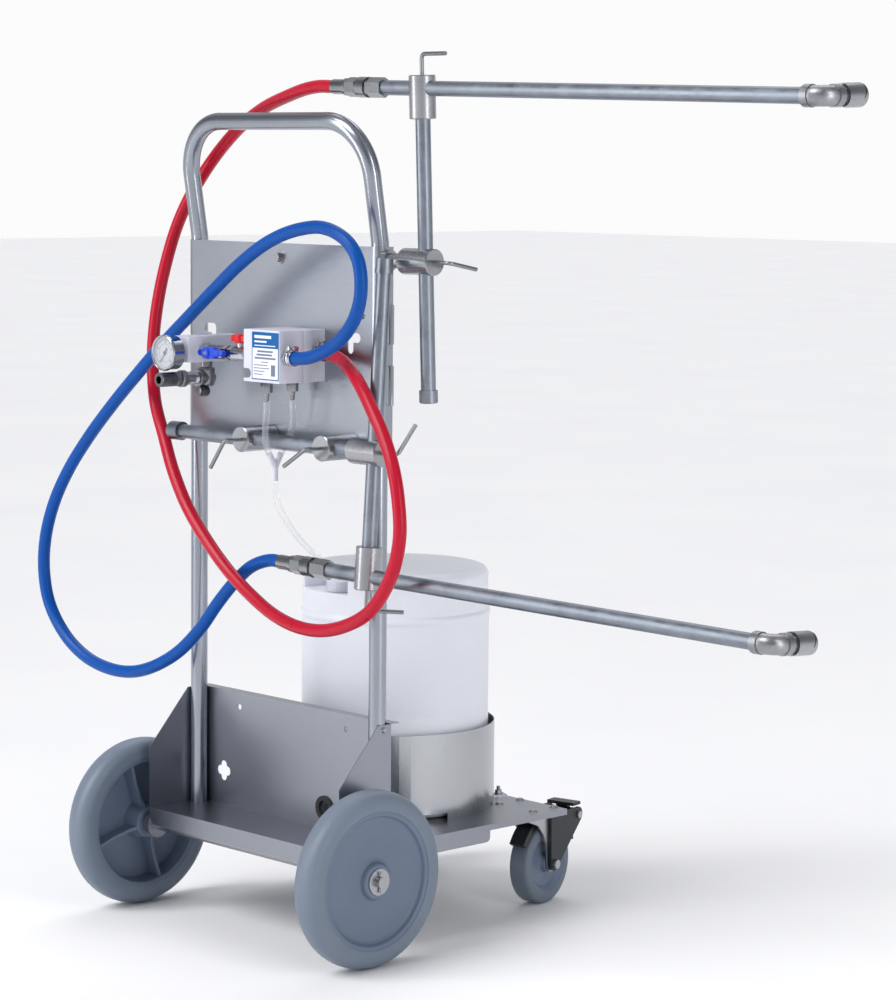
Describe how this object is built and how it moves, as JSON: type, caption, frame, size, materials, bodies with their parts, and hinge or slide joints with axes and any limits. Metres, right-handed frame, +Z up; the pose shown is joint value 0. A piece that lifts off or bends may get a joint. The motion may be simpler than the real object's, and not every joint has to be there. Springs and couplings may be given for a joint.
{
  "type": "mobile foam and spray cart",
  "caption": "Stainless hand cart on two large wheels and two braked castors, with a hooped handle, injector panel, chemical drum and two clamped pipe arms fed by red and blue hoses",
  "frame": {"origin": "bottom centre of the box round the cart without its hoses, on the floor", "axes": "+Z up, +X along the wheel axle towards the arms' nozzles, +Y from the handle towards the castors"},
  "size_m": [1.4998, 0.6664, 1.2898],
  "materials": {
    "satin_sheet": "brushed stainless sheet",
    "frame_tube": "satin stainless tube",
    "mill_pipe": "dull mill-finish stainless pipe",
    "turned_steel": "turned stainless",
    "bright_steel": "polished stainless",
    "zinc": "bright zinc plate",
    "grey_wheel": "moulded blue-grey polymer",
    "grey_tyre": "smooth grey thermoplastic rubber",
    "black_plastic": "moulded black plastic",
    "black_rubber": "soft black rubber",
    "white_plastic": "machined white plastic",
    "drum_plastic": "translucent blow-moulded plastic",
    "red_rubber": "smooth glossy red hose cover",
    "blue_rubber": "smooth glossy blue hose cover",
    "clear_tube": "clear flexible tube",
    "red_plastic": "moulded red plastic",
    "blue_plastic": "moulded blue plastic"
  },
  "bodies": {
    "root": {"handle_frame": "frame_tube", "base_tray": "satin_sheet", "tray_guard": "satin_sheet", "guard_grommet": "black_rubber", "control_panel": "satin_sheet", "frame_fasteners": "turned_steel", "crossbar_clamps": "turned_steel", "mast_clamp": "turned_steel", "wheel_axle": "turned_steel", "castor_plates": "zinc", "drum_ring": "satin_sheet", "injector_block": "white_plastic", "manifold_bar": "white_plastic", "gauge_case": "bright_steel", "ball_valves": "bright_steel", "inlet_fittings": "turned_steel", "hose_barbs": "bright_steel", "y_fitting": "white_plastic", "red_hose": "red_rubber", "blue_hose": "blue_rubber", "suction_tubes": "clear_tube", "drum_tube": "clear_tube"},
    "crossbar": {"crossbar": "mill_pipe", "crossbar_cap": "mill_pipe"},
    "corner_clamp": {"corner_clamp": "turned_steel"},
    "drop_pipe": {"drop_pipe": "mill_pipe", "drop_pipe_cap": "mill_pipe"},
    "lower_arm_clamp": {"lower_arm_clamp": "turned_steel"},
    "lower_arm": {"lower_arm": "mill_pipe", "lower_coupling": "turned_steel"},
    "lower_elbow": {"lower_elbow": "turned_steel", "lower_nozzle": "turned_steel"},
    "mast": {"mast": "mill_pipe", "mast_cap": "mill_pipe"},
    "upper_arm_clamp": {"upper_arm_clamp": "turned_steel"},
    "upper_arm": {"upper_arm": "mill_pipe", "upper_coupling": "turned_steel"},
    "upper_elbow": {"upper_elbow": "turned_steel", "upper_nozzle": "turned_steel"},
    "crossbar_screw_left": {"crossbar_screw_left": "turned_steel"},
    "crossbar_screw_right": {"crossbar_screw_right": "turned_steel"},
    "corner_screw": {"corner_screw": "turned_steel"},
    "lower_arm_screw": {"lower_arm_screw": "turned_steel"},
    "mast_screw": {"mast_screw": "turned_steel"},
    "upper_arm_screw": {"upper_arm_screw": "turned_steel"},
    "right_wheel": {"right_wheel": "grey_wheel"},
    "left_wheel": {"left_wheel": "grey_wheel"},
    "right_castor_wheel": {"right_castor_wheel": "grey_tyre"},
    "left_castor_wheel": {"left_castor_wheel": "grey_tyre"},
    "right_castor_brake": {"right_castor_brake": "black_plastic"},
    "left_castor_brake": {"left_castor_brake": "black_plastic"},
    "blue_lever": {"blue_lever": "blue_plastic"},
    "red_lever": {"red_lever": "red_plastic"},
    "gauge_needle": {"gauge_needle": "black_plastic"},
    "drum": {"drum": "drum_plastic"},
    "drum_cap": {"drum_cap": "drum_plastic"},
    "right_castor": {"right_castor_fork": "zinc", "right_castor_cover": "black_plastic"},
    "left_castor": {"left_castor_fork": "zinc", "left_castor_cover": "black_plastic"}
  },
  "joints": [
    {"name": "crossbar_slide", "type": "slide", "parent": "root", "child": "crossbar", "axis": [1, 0, 0], "range_m": [-0.028, 0.05], "deforming": ["blue_hose"]},
    {"name": "corner_turn", "type": "hinge", "parent": "crossbar", "child": "corner_clamp", "pos_m": [-0.11266, -0.19341, 0.731], "axis": [1, 0, 0], "range_deg": [-1.5, 5]},
    {"name": "drop_pipe_slide", "type": "slide", "parent": "corner_clamp", "child": "drop_pipe", "axis": [0, 0.0628, 0.998], "range_m": [-0.16, 0.09]},
    {"name": "lower_arm_swing", "type": "hinge", "parent": "drop_pipe", "child": "lower_arm_clamp", "pos_m": [-0.11266, -0.20437, 0.55684], "axis": [0, 0.0628, 0.998], "range_deg": [-10, 45]},
    {"name": "lower_arm_slide", "type": "slide", "parent": "lower_arm_clamp", "child": "lower_arm", "axis": [1, -0.0005, -0.0087], "range_m": [-0.08, 0.04]},
    {"name": "lower_nozzle_aim", "type": "hinge", "parent": "lower_arm", "child": "lower_elbow", "pos_m": [-0.11266, -0.20437, 0.55684], "axis": [1, -0.0005, -0.0087], "range_deg": [-90, 90]},
    {"name": "mast_slide", "type": "slide", "parent": "root", "child": "mast", "axis": [0, -0.0384, 0.9993], "range_m": [-0.012, 0.15], "deforming": ["red_hose"]},
    {"name": "upper_arm_swing", "type": "hinge", "parent": "mast", "child": "upper_arm_clamp", "pos_m": [-0.07066, -0.13671, 0.998], "axis": [0, -0.0384, 0.9993], "range_deg": [-45, 60]},
    {"name": "upper_arm_slide", "type": "slide", "parent": "upper_arm_clamp", "child": "upper_arm", "axis": [0.9997, 0.0009, -0.0227], "range_m": [-0.08, 0.045]},
    {"name": "upper_nozzle_aim", "type": "hinge", "parent": "upper_arm", "child": "upper_elbow", "pos_m": [-0.07066, -0.14598, 1.23932], "axis": [0.9997, 0.0009, -0.0227], "range_deg": [-90, 90]},
    {"name": "crossbar_screw_left_turn", "type": "hinge", "parent": "root", "child": "crossbar_screw_left", "pos_m": [-0.38366, -0.19341, 0.731], "axis": [0, -1, 0], "range_deg": [-90, 90]},
    {"name": "crossbar_screw_right_turn", "type": "hinge", "parent": "root", "child": "crossbar_screw_right", "pos_m": [-0.20616, -0.19341, 0.731], "axis": [0, -1, 0], "range_deg": [-90, 90]},
    {"name": "corner_screw_turn", "type": "hinge", "parent": "corner_clamp", "child": "corner_screw", "pos_m": [-0.11266, -0.19341, 0.731], "axis": [1, 0, 0], "range_deg": [-150, 45]},
    {"name": "lower_arm_screw_turn", "type": "hinge", "parent": "lower_arm_clamp", "child": "lower_arm_screw", "pos_m": [-0.11266, -0.20437, 0.55684], "axis": [0, 0.0628, 0.998], "range_deg": [-45, 180]},
    {"name": "mast_screw_turn", "type": "hinge", "parent": "root", "child": "mast_screw", "pos_m": [-0.07066, -0.13671, 0.998], "axis": [1, 0, 0], "range_deg": [-90, 90]},
    {"name": "upper_arm_screw_turn", "type": "hinge", "parent": "upper_arm_clamp", "child": "upper_arm_screw", "pos_m": [-0.07066, -0.14598, 1.23932], "axis": [0, -0.0384, 0.9993], "range_deg": [-180, 180]},
    {"name": "right_wheel_spin", "type": "hinge", "parent": "root", "child": "right_wheel", "pos_m": [-0.10716, -0.20621, 0.127], "axis": [1, 0, 0], "continuous": true},
    {"name": "left_wheel_spin", "type": "hinge", "parent": "root", "child": "left_wheel", "pos_m": [-0.62716, -0.20621, 0.127], "axis": [1, 0, 0], "continuous": true},
    {"name": "right_castor_swivel", "type": "hinge", "parent": "root", "child": "right_castor", "pos_m": [-0.20766, 0.21279, 0.14], "axis": [0, 0, 1], "continuous": true},
    {"name": "right_castor_spin", "type": "hinge", "parent": "right_castor", "child": "right_castor_wheel", "pos_m": [-0.21556, 0.24996, 0.0625], "axis": [0.9781, 0.2079, 0], "continuous": true},
    {"name": "right_brake_pedal", "type": "hinge", "parent": "right_castor", "child": "right_castor_brake", "pos_m": [-0.22949, 0.3155, 0.128], "axis": [0.9781, 0.2079, 0], "range_deg": [-6, 4]},
    {"name": "left_castor_swivel", "type": "hinge", "parent": "root", "child": "left_castor", "pos_m": [-0.52666, 0.21279, 0.14], "axis": [0, 0, 1], "continuous": true},
    {"name": "left_castor_spin", "type": "hinge", "parent": "left_castor", "child": "left_castor_wheel", "pos_m": [-0.53456, 0.24996, 0.0625], "axis": [0.9781, 0.2079, 0], "continuous": true},
    {"name": "left_brake_pedal", "type": "hinge", "parent": "left_castor", "child": "left_castor_brake", "pos_m": [-0.54849, 0.3155, 0.128], "axis": [0.9781, 0.2079, 0], "range_deg": [-6, 4]},
    {"name": "blue_lever_turn", "type": "hinge", "parent": "root", "child": "blue_lever", "pos_m": [-0.41116, -0.22821, 0.858], "axis": [0, -1, 0], "range_deg": [0, 90]},
    {"name": "red_lever_turn", "type": "hinge", "parent": "root", "child": "red_lever", "pos_m": [-0.36416, -0.22821, 0.858], "axis": [0, 0, 1], "range_deg": [0, 90]},
    {"name": "gauge_needle_turn", "type": "hinge", "parent": "root", "child": "gauge_needle", "pos_m": [-0.46516, -0.28521, 0.856], "axis": [0, 1, 0], "range_deg": [0, 270]},
    {"name": "drum_lift", "type": "slide", "parent": "root", "child": "drum", "axis": [0, 0, 1], "range_m": [0, 0.135], "deforming": ["drum_tube", "suction_tubes"]},
    {"name": "drum_cap_turn", "type": "hinge", "parent": "drum", "child": "drum_cap", "pos_m": [-0.36716, -0.02821, 0.497], "axis": [0, 0, 1], "continuous": true}
  ]
}
